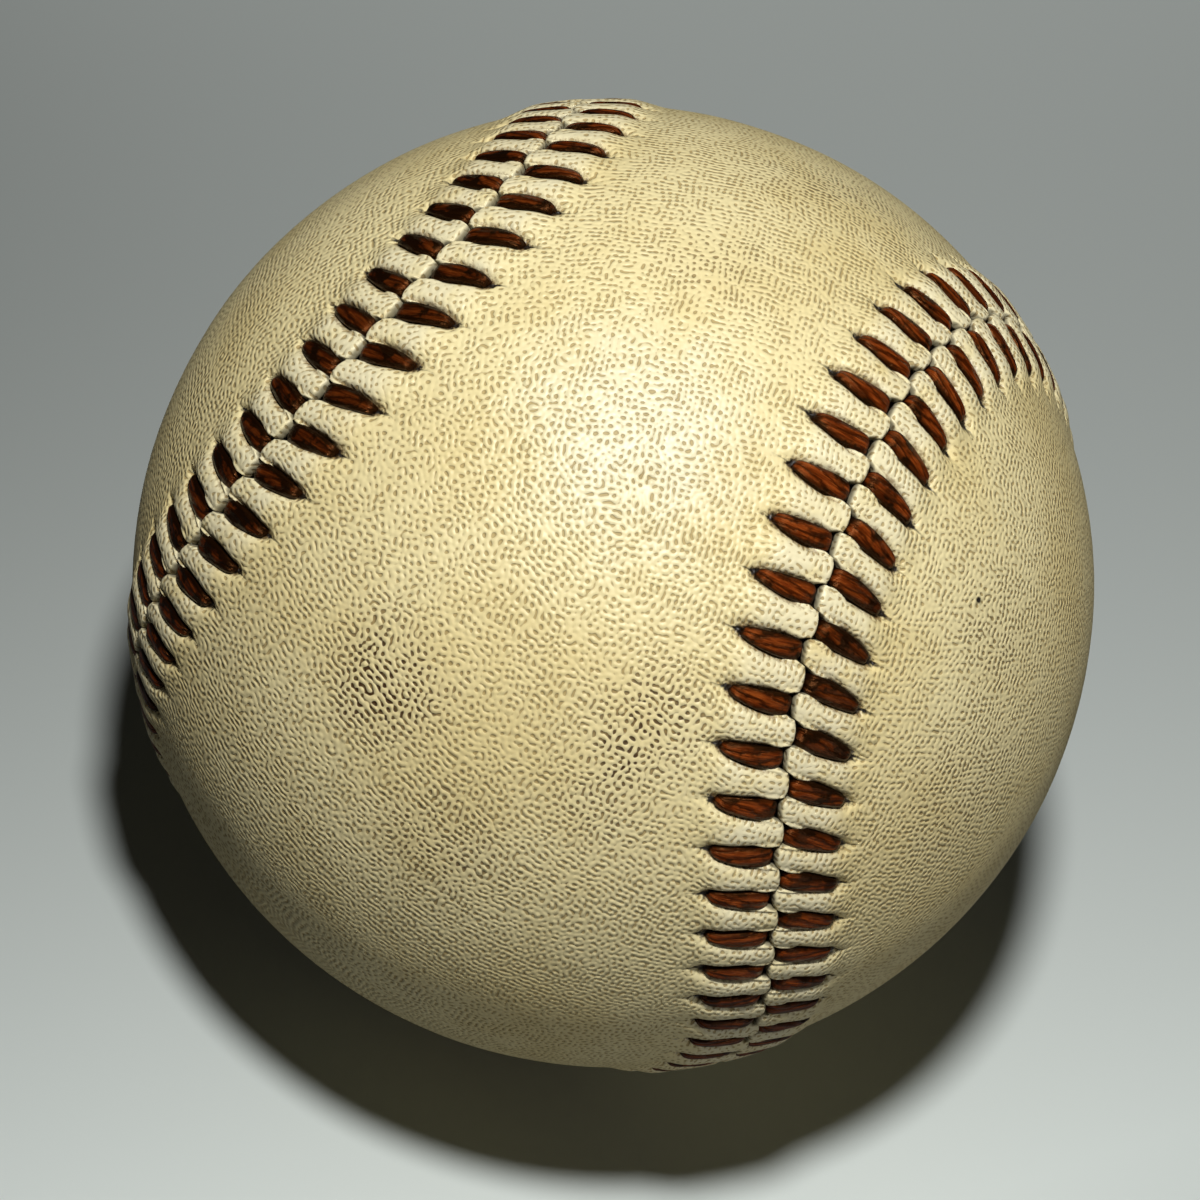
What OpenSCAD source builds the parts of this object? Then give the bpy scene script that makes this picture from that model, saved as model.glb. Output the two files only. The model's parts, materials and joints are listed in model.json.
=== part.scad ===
// A hard baseball, built from the middle outwards: a cork core, a cushion of
// rubber, three windings of wool, a finish winding of fine yarn, and a cover of
// two figure-eight leather panels that one waxed thread sews edge to edge.
// The origin is the ball's centre. Up, +Z, is the middle of the first panel's
// neck, and the second panel's neck is straight below, so X and Y both run out
// through the seam.

/* [Core and cushion] */
// Diameter of the round cork core
cork_d = 20.6; // [18:0.1:23]
// Wall of the two black rubber half shells
shell_wall = 4; // [3:0.1:5]
// Thickness of the gasket ring that seals the half shells
gasket_t = 1; // [0.6:0.1:2]
// Wall of the red rubber moulded over the half shells
red_wall = 2.4; // [1.8:0.1:3.2]

/* [Windings] */
// Depth of the first winding, of thick gray wool
first_wool_t = 14.5; // [12:0.1:16]
// Depth of the second winding, of white wool
second_wool_t = 1.7; // [1:0.1:2.5]
// Depth of the third winding, of gray wool
third_wool_t = 2; // [1:0.1:3]
// Depth of the finish winding, of fine white yarn
finish_t = 0.45; // [0.3:0.05:0.8]

/* [Cover] */
// Thickness of the leather
leather_t = 1.1; // [1:0.05:1.4]
// Thickness of the leather where a tight stitch presses on it
pressed_t = 0.45; // [0.4:0.05:0.6]
// Number of stitches along each side of the seam
stitches = 108; // [100:8:116]
// Distance from the seam to the middle of a needle hole
hole_reach = 4.8; // [4.4:0.1:5.2]
// How far each needle hole lies behind the place where its stitch meets the seam
stitch_lag = 0.6; // [0:0.1:0.8]
// How far the stitches lean along the seam, at most, where one panel turns from neck to lobe
stitch_lean = 1.7; // [0:0.1:1.9]

/* [Thread] */
// Width of the waxed thread, which is pulled flat
thread_w = 1.15; // [0.9:0.05:1.2]
// Thickness of the flat thread
thread_t = 0.45; // [0.35:0.05:0.5]

/* [Hidden] */

// Clearance between one layer and the next
layer_gap = 0.05;
// Cement between the finish winding and the leather, with room for the flats of the leather's inside
cement_gap = 0.18;

// Each layer starts where the one below ends
shell_in_r = cork_d / 2 + layer_gap;
shell_out_r = shell_in_r + shell_wall;
red_in_r = shell_out_r + layer_gap;
red_out_r = red_in_r + red_wall;
first_in_r = red_out_r + layer_gap;
first_out_r = first_in_r + first_wool_t;
second_in_r = first_out_r + layer_gap;
second_out_r = second_in_r + second_wool_t;
third_in_r = second_out_r + layer_gap;
third_out_r = third_in_r + third_wool_t;
finish_in_r = third_out_r + layer_gap;
finish_out_r = finish_in_r + finish_t;
leather_in_r = finish_out_r + cement_gap;
ball_r = leather_in_r + leather_t;

// The seam's shape: how deep the lobes swell past the necks, and how far the seam rises and falls
lobe_share = 0.47;
rise_share = 1.121;

// Room round the thread: over the winding, under the leather, on top of it, in the seam, and in the holes
// along and across the stitch
winding_room = 0.33;
under_room = 0.1;
over_room = 0.15;
seam_room = 0.15;
hole_room = 0.3;
bed_room = 0.175;
// Gap between the two panels where their edges meet
seam_gap = 0.1;
// Slope between the bed of a stitch and the leather ridge beside it
flank_w = 0.35;
// How much lower a ridge is at its end on the seam than at its middle
ridge_end_drop = 0.25;
// How far along its stitches a ridge keeps its height
ridge_share = 0.62;
// How much further than the needle holes the leather is smooth again
band_share = 1.46;
band_w = hole_reach * band_share;

// Where the thread runs: its middle under the leather and on top, and where it enters and leaves the seam
under_r = finish_out_r + winding_room + thread_t / 2;
lifted_in_r = under_r + thread_t / 2 + under_room;
bed_r = lifted_in_r + pressed_t;
over_r = bed_r + over_room + thread_t / 2;
ridge_r = lifted_in_r + leather_t;
entry = seam_gap / 2 + seam_room + thread_t / 2;
dive_w = entry + seam_room;
notch = entry + thread_t / 2 + seam_room;
// Stitch bed and needle hole, which are as wide as each other
bed_w = thread_w + 2 * bed_room;
hole_l = thread_t + 2 * hole_room;

// Steps in which the seam's length is measured, and the width of a flat in the smooth leather
seam_steps = 720;
flat_w = 4.6;
// Points tried along each run of thread, and stitches tried, when its least gap is measured
gap_tries = 4;
gap_stitches = stitches / 4;

function unit(v) = v / norm(v);

// Direction from the ball's centre to the seam, for a turn of 0 to 360 degrees along it
function seam_dir_at(turn) = unit([cos(turn) + lobe_share * cos(3 * turn),
                                   sin(turn) - lobe_share * sin(3 * turn),
                                   -rise_share * sin(2 * turn)]);

// Length along the seam against turn, so that the stitches can be spaced evenly
function turn_at(i) = i * 360 / seam_steps;
function seam_step(i) = ball_r * norm(seam_dir_at(turn_at(i + 1)) - seam_dir_at(turn_at(i)));
seam_table = [for (i = 0, s = 0; i <= seam_steps; s = s + seam_step(i), i = i + 1) [s, turn_at(i)]];
seam_len = seam_table[seam_steps][0];
pitch = seam_len / stitches;

function wrap(s) = s - seam_len * floor(s / seam_len);
function seam_dir(s) = seam_dir_at(lookup(wrap(s), seam_table));
function along(s) = unit(seam_dir(s + pitch / 8) - seam_dir(s - pitch / 8));
function across(s) = cross(seam_dir(s), along(s));

// Point at length s along the seam, a surface distance u to its side, at radius r
function place(s, u, r) = let (a = u / ball_r * 180 / PI) r * (cos(a) * seam_dir(s) + sin(a) * across(s));

// Each panel's stitches meet the seam midway between the other's. The upper panel is side 1, the lower one
// side -1.
function stitch_s(j, side) = (j + (side > 0 ? 1 / 2 : 0)) * pitch;
function lean(s, side) = -stitch_lag - side * stitch_lean * cos(2 * 360 * s / seam_len);
function leaning_s(j, side, u) = let (s = stitch_s(j, side)) s + lean(s, side) * u / hole_reach;

// Point beside stitch j: u out from the seam, w along it, at radius r
function beside(j, side, u, w, r) =
    let (s = leaning_s(j, side, u)) r * unit(place(s, side * u, ball_r) + along(s) * w);

// Leather panel. Its rings of points follow the seam: the notched edge, the ridges, the two sides of the
// needle holes and the smooth leather. From there, rungs cross the panel from seam to seam.
turns = [0:stitches - 1];
function bed_points(j, side, u, r) = [for (w = [-bed_w / 2, bed_w / 2]) beside(j, side, u, w, r)];
function ridge_points(j, side, u, r) = [beside(j, side, u, bed_w / 2 + flank_w, r),
                                        beside(j + 1, side, u, -bed_w / 2 - flank_w, r)];
function edge_ring(side) = [for (j = turns, p = concat(
    bed_points(j, side, notch, bed_r), ridge_points(j, side, seam_gap / 2, ridge_r - ridge_end_drop))) p];
function ridge_ring(side) = let (u = hole_reach * ridge_share) [for (j = turns, p = concat(
    bed_points(j, side, u, bed_r), ridge_points(j, side, u, ridge_r))) p];
function hole_ring(side, u, r) = [for (j = turns, p = bed_points(j, side, u, r)) p];
function smooth_ring(side, r) = [for (j = turns) place(j * pitch, side * band_w, r)];
function inner_edge_ring(side) = [for (j = turns) beside(j + 1 / 2, side, notch + seam_room, 0, lifted_in_r)];

// Rung i joins two ring points that lie mirrored across the panel. The first and last rungs are single steps
// of the ring itself, at the tips of the lobes, and the others have as many flats as their length asks for.
last_rung = stitches / 2 - 1;
function first_near(side) = ceil(side * stitches / 8);
function rung_near(i, side) = (first_near(side) + i + stitches) % stitches;
function rung_far(i, side) = (first_near(side) - 1 - i + stitches) % stitches;
function angle_between(a, b) = acos(a * b / norm(a) / norm(b));
function arc_length(a, b) = ball_r * angle_between(a, b) * PI / 180;
function rung_flats(ring, side) = [for (i = [0:last_rung]) i == 0 || i == last_rung ? 1
    : max(2, round(arc_length(ring[rung_near(i, side)], ring[rung_far(i, side)]) / flat_w))];
function slerp(a, b, f) = let (w = angle_between(a, b)) (sin((1 - f) * w) * a + sin(f * w) * b) / sin(w);
function rung_points(side, ring, flats) = [for (i = [1:last_rung - 1], m = [1:flats[i] - 1])
    slerp(ring[rung_near(i, side)], ring[rung_far(i, side)], m / flats[i])];

// Triangles, each in the order that runs left round when seen from outside with the seam below.
// A ring or block of points is named by the number of its first point, and j, k and i are a stitch, the next
// one and the one before.
function flip(faces) = [for (f = faces) [f[0], f[2], f[1]]];
function quad(a, b, c, d) = [[a, b, c], [a, c, d]];
function next(j) = (j + 1) % stitches;
function before(j) = (j + stitches - 1) % stitches;
function edge_to_ridge(e, r) = let (n = 4 * stitches)
    [for (x = [0:n - 1], y = [(x + 1) % n], f = quad(e + x, e + y, r + y, r + x)) f];
function ridge_to_hole(r, h) = [for (j = turns, k = [next(j)], f = concat(
    quad(r + 4 * j, r + 4 * j + 1, h + 2 * j + 1, h + 2 * j),
    [[r + 4 * j + 1, r + 4 * j + 2, h + 2 * j + 1], [r + 4 * j + 2, r + 4 * j + 3, h + 2 * j + 1],
     [r + 4 * j + 3, r + 4 * k, h + 2 * k], [r + 4 * j + 3, h + 2 * k, h + 2 * j + 1]])) f];
function between_holes(a, b) = [for (j = turns, k = [next(j)],
    f = quad(a + 2 * j + 1, a + 2 * k, b + 2 * k, b + 2 * j + 1)) f];
function hole_to_smooth(h, c) = [for (j = turns, k = [next(j)], f = [
    [h + 2 * j, h + 2 * j + 1, c + j],
    [h + 2 * j + 1, h + 2 * k, c + k],
    [h + 2 * j + 1, c + k, c + j]]) f];
function inner_edge_to_hole(e, h) = [for (j = turns, k = [next(j)], i = [before(j)], f = [
    [e + i, e + j, h + 2 * j],
    [e + j, h + 2 * j + 1, h + 2 * j],
    [e + j, h + 2 * k, h + 2 * j + 1]]) f];
function edge_wall(e, g) = [for (j = turns, k = [next(j)], i = [before(j)], f = concat(
    quad(e + 4 * j + 1, e + 4 * j, g + i, g + j),
    [[e + 4 * j + 2, e + 4 * j + 1, g + j], [e + 4 * j + 3, e + 4 * j + 2, g + j],
     [e + 4 * k, e + 4 * j + 3, g + j]])) f];
function hole_walls(h1, h2, g1, g2) = [for (j = turns, l = [2 * j], r = [2 * j + 1], f = concat(
    quad(h1 + l, h1 + r, g1 + r, g1 + l), quad(h2 + r, h2 + l, g2 + l, g2 + r),
    quad(h2 + l, h1 + l, g1 + l, g2 + l), quad(h1 + r, h2 + r, g2 + r, g1 + r))) f];

// The numbers of a rung's points, and the triangles between one rung and the next
function running_total(list) =
    [for (i = 0, n = 0; i <= len(list); n = n + (i < len(list) ? list[i] : 0), i = i + 1) n];
function rung_row(c, b, side, flats, starts, i) = concat([c + rung_near(i, side)],
    flats[i] > 1 ? [for (m = [0:flats[i] - 2]) b + starts[i] + m] : [], [c + rung_far(i, side)]);
function between_rows(p, q) = let (a = len(p) - 1, b = len(q) - 1) concat(
    [for (k = [0:a - 1]) [p[k], q[ceil((k + 1 / 2) * b / a - 1 / 2)], p[k + 1]]],
    [for (l = [0:b - 1]) [p[floor((l + 1 / 2) * a / b + 1 / 2)], q[l], q[l + 1]]]);
function rung_faces(c, b, side, flats) = let (
    starts = running_total([for (n = flats) n - 1]),
    rows = [for (i = [0:last_rung]) rung_row(c, b, side, flats, starts, i)])
    [for (i = [0:last_rung - 1], f = between_rows(rows[i], rows[i + 1])) f];

module leather_panel(side) {
    near_hole = hole_reach - hole_l / 2;
    far_hole = hole_reach + hole_l / 2;
    outer_smooth = smooth_ring(side, ball_r);
    inner_smooth = smooth_ring(side, leather_in_r);
    flats = rung_flats(outer_smooth, side);
    blocks = [edge_ring(side), ridge_ring(side),
              hole_ring(side, near_hole, bed_r), hole_ring(side, far_hole, bed_r),
              outer_smooth, rung_points(side, outer_smooth, flats), inner_edge_ring(side),
              hole_ring(side, near_hole, lifted_in_r), hole_ring(side, far_hole, lifted_in_r),
              inner_smooth, rung_points(side, inner_smooth, flats)];
    at = running_total([for (b = blocks) len(b)]);
    outside = concat(edge_to_ridge(at[0], at[1]), ridge_to_hole(at[1], at[2]), between_holes(at[2], at[3]),
                     hole_to_smooth(at[3], at[4]), rung_faces(at[4], at[5], side, flats));
    inside = concat(inner_edge_to_hole(at[6], at[7]), between_holes(at[7], at[8]),
                    hole_to_smooth(at[8], at[9]), rung_faces(at[9], at[10], side, flats));
    faces = concat(outside, flip(inside), edge_wall(at[0], at[6]), hole_walls(at[2], at[3], at[7], at[8]));
    polyhedron(points = [for (b = blocks, p = b) p], faces = side > 0 ? flip(faces) : faces);
}

// One strand of the thread makes its stitches on either panel in turn. Each comes up through its needle hole,
// crosses the leather to the seam and dives under the other panel, where the next stitch's hole is.
function stitch_path(j, side) = let (s = stitch_s(j, side), h = leaning_s(j, side, hole_reach))
    [[h, side * hole_reach, under_r],
     [h, side * hole_reach, over_r],
     [s + lean(s, side) * entry / hole_reach, side * entry, over_r],
     [s, -side * dive_w, under_r]];
function strand(first_side) = [for (j = turns, p = stitch_path(j, j % 2 == 0 ? first_side : -first_side)) p];
runs = len(stitch_path(0, 1));
// Each strand ends inside the seam, part of the way down its last dive
tail_share = 0.25;
function tucked(path) = let (n = len(path), a = path[n - 2], b = path[n - 1])
    [for (i = [0:n - 1]) i < n - 1 ? path[i] : a + tail_share * (b - a)];
function backwards(path) = [for (i = [len(path) - 1:-1:0]) path[i]];
// The thread's middle lies under the seam at the first stitches, and its halves are sewn round side by side
crossing = [[-pitch / 2, dive_w, under_r], [-pitch / 2, -dive_w, under_r]];
thread_path = concat(backwards(tucked(strand(1))), crossing, tucked(strand(-1)));

// Four corners of the thread's section at point i of the path, flat on the ball and square to the bend there
function thread_ring(path, i) = let (
        n = len(path),
        at = [for (k = [max(i - 1, 0), i, min(i + 1, n - 1)]) place(path[k][0], path[k][1], path[k][2])],
        a = i > 0 ? unit(at[1] - at[0]) : unit(at[2] - at[1]),
        b = i < n - 1 ? unit(at[2] - at[1]) : a,
        t = unit(a + b),
        flat_way = unit(cross(at[1], t)),
        v = flat_way * sign(flat_way * along(path[i][0])) * thread_w / 2,
        m = cross(t, unit(v)) / norm(a + b) * thread_t)
    [at[1] + v + m, at[1] - v + m, at[1] - v - m, at[1] + v - m];

// Least gap between the two strands, at points along their corners, over the first stitches of each
function corner_run(rings, from) = [for (i = [from:from + runs - 1], f = [0:gap_tries - 1], c = [0:3])
    rings[i][c] + f / gap_tries * (rings[i + 1][c] - rings[i][c])];
function least_gap(a, b) = min([for (p = a, q = b) norm(p - q)]);
function strand_gap(rings) = let (middle = runs * stitches) min([for (j = [1:gap_stitches], d = [-1:1])
    least_gap(corner_run(rings, middle - runs * (j + 1)),
              corner_run(rings, middle + len(crossing) + runs * (j + d)))]);

module sewing_thread() {
    rings = [for (i = [0:len(thread_path) - 1]) thread_ring(thread_path, i)];
    last = 4 * len(rings) - 4;
    sides = [for (i = [0:len(rings) - 2], c = [0:3], d = [(c + 1) % 4],
                  f = quad(4 * i + c, 4 * i + 4 + c, 4 * i + 4 + d, 4 * i + d)) f];
    echo(least_thread_gap = strand_gap(rings), stitch_pitch = pitch, ball_girth = 2 * PI * ball_r);
    color("saddlebrown")
        polyhedron(points = [for (r = rings, p = r) p],
                   faces = concat(quad(0, 1, 2, 3), sides, quad(last + 3, last + 2, last + 1, last)));
}

module hollow_ball(inner_r, outer_r) {
    difference() {
        sphere(r = outer_r, $fn = 96);
        sphere(r = inner_r, $fn = 96);
    }
}

// Half shell, open side down, that stops short of the middle by half the gasket
module half_shell() {
    rotate_extrude($fn = 96)
        intersection() {
            difference() {
                circle(r = shell_out_r, $fn = 96);
                circle(r = shell_in_r, $fn = 96);
            }
            translate([0, gasket_t / 2 + layer_gap / 2])
                square([shell_out_r, shell_out_r]);
        }
}

module cork_core() {
    color("peru")
        sphere(d = cork_d, $fn = 96);
}

module shell_half_upper() {
    color("dimgray")
        half_shell();
}

module shell_half_lower() {
    color("dimgray")
        rotate([180, 0, 0])
            half_shell();
}

module shell_gasket() {
    color("firebrick")
        translate([0, 0, -gasket_t / 2])
            difference() {
                cylinder(r = shell_out_r, h = gasket_t, $fn = 96);
                translate([0, 0, -gasket_t / 2])
                    cylinder(r = shell_in_r, h = 2 * gasket_t, $fn = 96);
            }
}

module red_rubber_layer() {
    color("brown")
        hollow_ball(red_in_r, red_out_r);
}

module wool_winding_first() {
    color("slategray")
        hollow_ball(first_in_r, first_out_r);
}

module wool_winding_second() {
    color("ivory")
        hollow_ball(second_in_r, second_out_r);
}

module wool_winding_third() {
    color("lightslategray")
        hollow_ball(third_in_r, third_out_r);
}

module finish_winding() {
    color("floralwhite")
        hollow_ball(finish_in_r, finish_out_r);
}

module cover_panel_upper() {
    color("wheat")
        leather_panel(1);
}

module cover_panel_lower() {
    color("burlywood")
        leather_panel(-1);
}

cork_core();
shell_half_upper();
shell_half_lower();
shell_gasket();
red_rubber_layer();
wool_winding_first();
wool_winding_second();
wool_winding_third();
finish_winding();
cover_panel_upper();
cover_panel_lower();
sewing_thread();
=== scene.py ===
# A hard baseball: two figure-eight leather panels over wound yarn, sewn edge to edge with one waxed thread
import json
import bmesh
import bpy
import numpy as np
from mathutils import Matrix, Vector


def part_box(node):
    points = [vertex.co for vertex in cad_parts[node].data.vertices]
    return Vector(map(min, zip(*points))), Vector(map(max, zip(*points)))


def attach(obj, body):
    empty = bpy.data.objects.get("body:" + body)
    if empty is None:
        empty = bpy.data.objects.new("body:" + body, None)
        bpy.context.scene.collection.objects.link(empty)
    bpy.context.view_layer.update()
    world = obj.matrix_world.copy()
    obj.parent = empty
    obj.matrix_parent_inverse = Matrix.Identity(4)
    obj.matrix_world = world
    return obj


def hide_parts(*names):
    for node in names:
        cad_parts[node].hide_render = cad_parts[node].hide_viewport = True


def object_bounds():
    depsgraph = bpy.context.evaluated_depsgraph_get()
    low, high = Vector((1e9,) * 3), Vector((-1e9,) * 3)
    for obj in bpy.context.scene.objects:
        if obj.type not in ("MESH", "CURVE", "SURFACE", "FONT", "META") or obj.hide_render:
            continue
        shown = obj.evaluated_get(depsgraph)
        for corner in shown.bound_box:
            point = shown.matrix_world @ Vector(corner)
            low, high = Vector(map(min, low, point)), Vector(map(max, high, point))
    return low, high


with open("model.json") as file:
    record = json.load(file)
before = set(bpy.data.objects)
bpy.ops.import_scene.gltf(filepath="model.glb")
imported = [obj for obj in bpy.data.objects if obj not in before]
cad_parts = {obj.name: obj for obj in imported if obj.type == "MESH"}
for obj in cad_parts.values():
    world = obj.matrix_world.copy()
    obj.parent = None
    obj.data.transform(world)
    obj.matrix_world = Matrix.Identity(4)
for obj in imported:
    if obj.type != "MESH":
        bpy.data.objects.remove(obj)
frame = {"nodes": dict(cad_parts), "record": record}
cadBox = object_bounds()

mm = 0.001  # sizes are written in millimetres, and meshes are in metres
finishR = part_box("finish_winding")[1].z / mm  # outside of the yarn that the cover is glued to
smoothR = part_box("cover_panel_upper")[1].z / mm  # outside of the smooth leather
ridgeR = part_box("cover_panel_upper")[1].x / mm  # tops of the leather ridges
print("frame loaded, ball", round(2 * smoothR, 2), "mm across its smooth leather")


# The seam, which both panels and the thread follow: s runs along it, u out from it over the leather
seam = {
    "lobeShare": 0.47,  # how deep the lobes swell past the necks
    "riseShare": 1.121,  # how far the seam rises and falls
    "radius": finishR + 1.28,  # of the ball on which s and u are measured
    "stitches": 108,  # along each side
    "holeReach": 4.8,  # from the seam to a needle hole
    "lag": 0.6,  # how far each hole lies behind its stitch's end on the seam
    "lean": 1.7,  # the most that stitches lean, where a panel turns from neck to lobe
    "leanReach": 6,  # from the seam to where the leather's lines lean no further
    "steps": 2880,  # in which the seam's length is measured
    "aheadShare": 1 / 8,  # of a stitch, ahead and back, between which the seam's direction is taken
}


def unit(v):
    return v / np.linalg.norm(v, axis=-1, keepdims=True)


def seamDirectionAt(turn):
    lobe, rise = seam["lobeShare"], seam["riseShare"]
    return unit(np.stack([np.cos(turn) + lobe * np.cos(3 * turn),
                          np.sin(turn) - lobe * np.sin(3 * turn),
                          -rise * np.sin(2 * turn)], -1))


seamTurns = np.linspace(0, 2 * np.pi, seam["steps"] + 1)
seamChords = np.linalg.norm(np.diff(seamDirectionAt(seamTurns), axis=0), axis=1) * seam["radius"]
seamPlaces = np.concatenate([[0], np.cumsum(seamChords)])
seamLength = seamPlaces[-1]
pitch = seamLength / seam["stitches"]


def seamDirection(s):
    return seamDirectionAt(np.interp(s % seamLength, seamPlaces, seamTurns))


def alongSeam(s):
    ahead = pitch * seam["aheadShare"]
    return unit(seamDirection(s + ahead) - seamDirection(s - ahead))


# Direction from the ball's centre to a place beside the seam
def directionAt(s, u):
    out, angle = seamDirection(s), (u / seam["radius"])[..., None]
    return np.cos(angle) * out + np.sin(angle) * np.cross(out, alongSeam(s))


# Where a side's first stitch meets the seam, in stitches: the two sides stand half a stitch apart
def firstStitch(side):
    return 0.5 if side > 0 else 0.0


# How far the stitches of one side lean back at their needle holes
def leanAt(s, side):
    return -seam["lag"] - side * seam["lean"] * np.cos(4 * np.pi * s / seamLength)


def leantBack(s, u, side):
    return leanAt(s, side) * np.minimum(u, seam["leanReach"]) / seam["holeReach"]


def ease(x, start, end):
    t = np.clip((x - start) / (end - start), 0, 1)
    return t * t * (3 - 2 * t)


weldReach = 0.002 * mm
cut = 4  # edges of a fine grid that meet each edge of a coarse one


# A grid whose points get their places from their column and row, with values kept on them
def shapedGrid(name, columns, rows, shapeAt):
    bm = bmesh.new()
    bmesh.ops.create_grid(bm, x_segments=columns, y_segments=rows, size=0.5)
    mesh = bpy.data.meshes.new(name)
    bm.to_mesh(mesh)
    bm.free()
    flat = np.empty(len(mesh.vertices) * 3, np.float32)
    mesh.vertices.foreach_get("co", flat)
    flat = flat.reshape(-1, 3)
    column = np.rint((flat[:, 0] + 0.5) * columns).astype(int)
    row = np.rint((flat[:, 1] + 0.5) * rows).astype(int)
    places, kept = shapeAt(column, row)
    mesh.vertices.foreach_set("co", (places * mm).astype(np.float32).ravel())
    for label, values in kept.items():
        layer = mesh.attributes.new(label, "FLOAT_VECTOR", "POINT")
        layer.data.foreach_set("vector", values.astype(np.float32).ravel())
    return mesh


def joined(meshes):
    bm = bmesh.new()
    for mesh in meshes:
        bm.from_mesh(mesh)
        bpy.data.meshes.remove(mesh)
    bmesh.ops.remove_doubles(bm, verts=bm.verts[:], dist=weldReach)
    return bm


# Joins coarse grids and cuts each open edge, so that they meet a finer grid
def cutRim(*meshes):
    bm = joined(meshes)
    bmesh.ops.subdivide_edges(bm, edges=[e for e in bm.edges if e.is_boundary], cuts=cut - 1)
    mesh = bpy.data.meshes.new("cutRim")
    bm.to_mesh(mesh)
    bm.free()
    return mesh


# Joins meshes into one piece, welds what meets and turns every face outwards
def weldedPiece(name, meshes, fillEnds=False):
    bm = joined(meshes)
    if fillEnds:
        bmesh.ops.holes_fill(bm, edges=[e for e in bm.edges if e.is_boundary], sides=0)
    bmesh.ops.recalc_face_normals(bm, faces=bm.faces[:])
    for face in bm.faces:
        face.smooth = True
    openEdges = sum(e.is_boundary for e in bm.edges)
    whole = bpy.data.meshes.new(name)
    bm.to_mesh(whole)
    bm.free()
    piece = bpy.data.objects.new(name, whole)
    bpy.context.scene.collection.objects.link(piece)
    triangles = sum(len(p.vertices) - 2 for p in whole.polygons)
    print(name, triangles, "triangles", openEdges, "open edges")
    return piece


panel = {
    "columns": 24,  # of the fine mesh to each stitch
    "crowding": (1.5, 0.86, 0.28),  # of columns at the sides of the beds: strength, place and reach
    "crowdSamples": 401,
    "rows": (0, 0.05, 0.13, 0.25, 0.4, 0.6, 0.85, 1.15, 1.5, 1.9, 2.3, 2.7, 3.1, 3.5, 3.85, 4.15, 4.4, 4.6,
             4.8, 5.0, 5.2, 5.45, 5.75, 6.15, 6.65, 7.3),  # distances from the panel's edge
    "liningRows": (0, 1.9, 3.4, 4.6, 5.5, 6.3, 7.3),
    "turnedIn": (0.5, 0.03),  # distances from the edge at which the leather is turned in below it
    "railEdges": 32,  # coarse edges that close the mesh at the tip of each lobe
    "tipReach": 1.5,  # how far a tip's shape bends the rungs, in widths of its rail
    "zigzag": 0.28,  # how far a ridge's end pushes past the seam's middle
    "zigzagPower": 0.28,  # the lower, the squarer the ridges' ends
    "zigzagReach": 2.4,  # from the panel's edge to where rows run straight
    "gap": 0.04,  # from the panel's edge to the seam's zigzag line
    "notchDepth": 0.42,  # how far the edge is set back where the thread dives
    "notchSides": (0.96, 0.62),  # from a stitch's middle, where the notch starts and where it is deepest
    "ridgeDrop": 0.07,  # how far the ridges stay below the frame's, for the taller ones
    "ridgeMost": 0.07,  # the largest share that a ridge is taller or lower than others
    "ridgePower": 2.9,  # the higher, the flatter a ridge's top
    "ridgeFade": (3.3, 6.7),  # distances at which ridges start to sink and are level with the leather
    "twistFade": (0.5, 4),  # distances between which a stitch starts to lie aslant
    "liftedR": finishR + 0.88,  # inside of the leather where thread runs below it
    "innerR": finishR + 0.18,  # inside of the leather elsewhere
    "innerFade": (5.3, 7.2),  # distances at which the inside starts to sink and reaches the yarn
    "thinnest": 0.08,
    "endRound": 0.32,  # length over which a ridge's end is rounded off
    "endDrop": 0.55,
    "bedEndShare": 0.25,  # of that drop at the end of a bed
    "bend": 0.14,  # how far the middle of an upper stitch bows back along the seam
    "lowerBendShare": 0.6,  # of that for the lower panel's stitches, which bow forwards
    "smoothMark": (9.0, pitch / 2, 1.5),  # the mark that the material finds on the smooth middle
    "upperSeeds": 10,  # added to the seeds below for the upper panel
}
unevenSizes = {"height": (1, 0.035), "width": (2, 0.035), "hole": (3, 0.10), "end": (4, 0.035),
               "twist": (5, 0.05)}  # seed and size
# Beds, in which the thread lies: at each distance from the seam, half their width and their depth
bedHalfWidth = ((0, 0.80), (0.8, 0.84), (1.7, 0.84), (2.6, 0.77), (3.4, 0.66), (4.1, 0.52), (4.6, 0.40),
                (5.0, 0.30), (5.3, 0.19), (5.6, 0.10), (6.2, 0.05), (8.0, 0.03))
bedDepth = ((0, 0.80), (3.4, 0.80), (4.1, 0.80), (4.5, 0.92), (5.0, 0.92), (5.25, 0.56), (5.5, 0.30),
            (5.9, 0.14), (6.5, 0.05), (6.9, 0))


def curveThrough(points, x):
    return np.interp(x, [p[0] for p in points], [p[1] for p in points])


# Hand-sewn leather isn't even, so each ridge and stitch has its own height and width
def unevenness(seed, size):
    count = seam["stitches"]
    draws = np.random.default_rng(seed).normal(0, size, count)
    return lambda x: np.interp(x % count, np.arange(count + 1), np.append(draws, draws[0]))


def bowAt(u, side):
    bend = -panel["bend"] if side > 0 else panel["lowerBendShare"] * panel["bend"]
    return bend * np.sin(np.pi * np.clip(u / seam["holeReach"], 0, 1))


swells = {
    "waves": 14,
    "seed": 40,
    "often": (9, 26),  # radians of a wave over one radius of the ball
    "depth": 0.012,
    "most": 2,  # depths up or down
}
fullTurn = 6.28  # where a wave may start


# Slow swells of the stretched leather over the yarn
def swell(direction):
    waves = np.zeros(direction.shape[:-1])
    for k in range(swells["waves"]):
        draw = np.random.default_rng(swells["seed"] + k)
        wave = unit(draw.normal(size=3)) * draw.uniform(*swells["often"])
        waves += np.sin(direction @ wave + draw.uniform(0, fullTurn))
    most = swells["most"]
    return -swells["depth"] * (most + np.clip(waves / 2, -most, most))


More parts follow.
